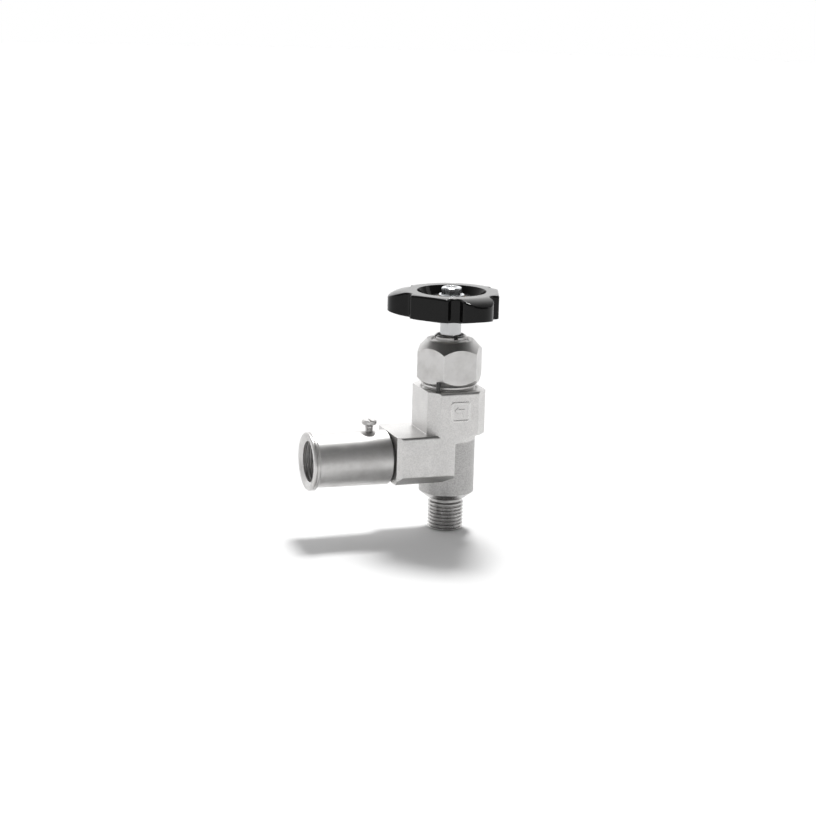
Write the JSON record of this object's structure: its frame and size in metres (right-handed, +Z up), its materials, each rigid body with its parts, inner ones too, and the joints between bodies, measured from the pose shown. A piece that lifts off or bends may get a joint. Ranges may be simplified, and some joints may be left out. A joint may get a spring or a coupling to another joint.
{
  "type": "needle valve",
  "caption": "Angle needle valve: threaded inlet below, polished female-thread outlet arm at the side, hexagon bonnet and a glossy lobed handwheel that lifts the needle.",
  "frame": {"origin": "centre of the inlet thread's end face", "axes": "+Z up along the stem axis, -X along the outlet arm towards its mouth, -Y the flat front of the forging with the raised mark"},
  "size_m": [0.074, 0.0412, 0.0912],
  "materials": {
    "forged_brass_plated": "satin nickel plate on a fine blasted forging",
    "bright_nickel": "polished nickel plate",
    "stainless": "fine turned",
    "zinc": "bright zinc plate",
    "spring_steel": "black oxide",
    "brass": "machined",
    "black_phenolic": "glossy moulded",
    "ptfe": "waxy matte",
    "nitrile": "matte",
    "fibre": "matte fibre sheet"
  },
  "bodies": {
    "valve": {"valve_body": "forged_brass_plated", "seat_insert": "brass", "bonnet_lock_pin": "spring_steel", "outlet_sleeve": "bright_nickel", "sleeve_gasket": "fibre", "bonnet": "bright_nickel", "bonnet_seal_ring": "nitrile", "packing_support_washer": "brass", "packing_ring_lower": "ptfe", "packing_ring_middle": "ptfe", "packing_ring_upper": "ptfe", "gland_follower": "brass", "gland_nut": "bright_nickel", "stem_wiper": "nitrile"},
    "needle": {"needle_tip": "stainless", "needle_retaining_ring": "spring_steel"},
    "stem_and_wheel": {"stem": "stainless", "handwheel": "black_phenolic", "handwheel_bush": "brass", "handwheel_washer": "zinc", "handwheel_nut": "zinc"},
    "bleed_ball": {"vent_ball": "stainless"},
    "bleed_screw": {"vent_screw": "bright_nickel"}
  },
  "joints": [
    {"name": "needle_lift", "type": "slide", "parent": "valve", "child": "needle", "axis": [0, 0, 1], "range_m": [0, 0.004]},
    {"name": "wheel_turn", "type": "hinge", "parent": "needle", "child": "stem_and_wheel", "pos_m": [0, 0, 0.0854], "axis": [0, 0, 1], "range_deg": [0, 1440]},
    {"name": "bleed_lift", "type": "slide", "parent": "valve", "child": "bleed_ball", "axis": [0, 0, 1], "range_m": [0, 0.00075]},
    {"name": "bleed_turn", "type": "hinge", "parent": "bleed_ball", "child": "bleed_screw", "pos_m": [-0.0308, 0, 0.0426], "axis": [0, 0, 1], "range_deg": [0, 540]}
  ],
  "couplings": [
    {"joint": "wheel_turn", "follows": "needle_lift", "rad_per_m": 6283.2},
    {"joint": "bleed_turn", "follows": "bleed_lift", "rad_per_m": 12566}
  ]
}
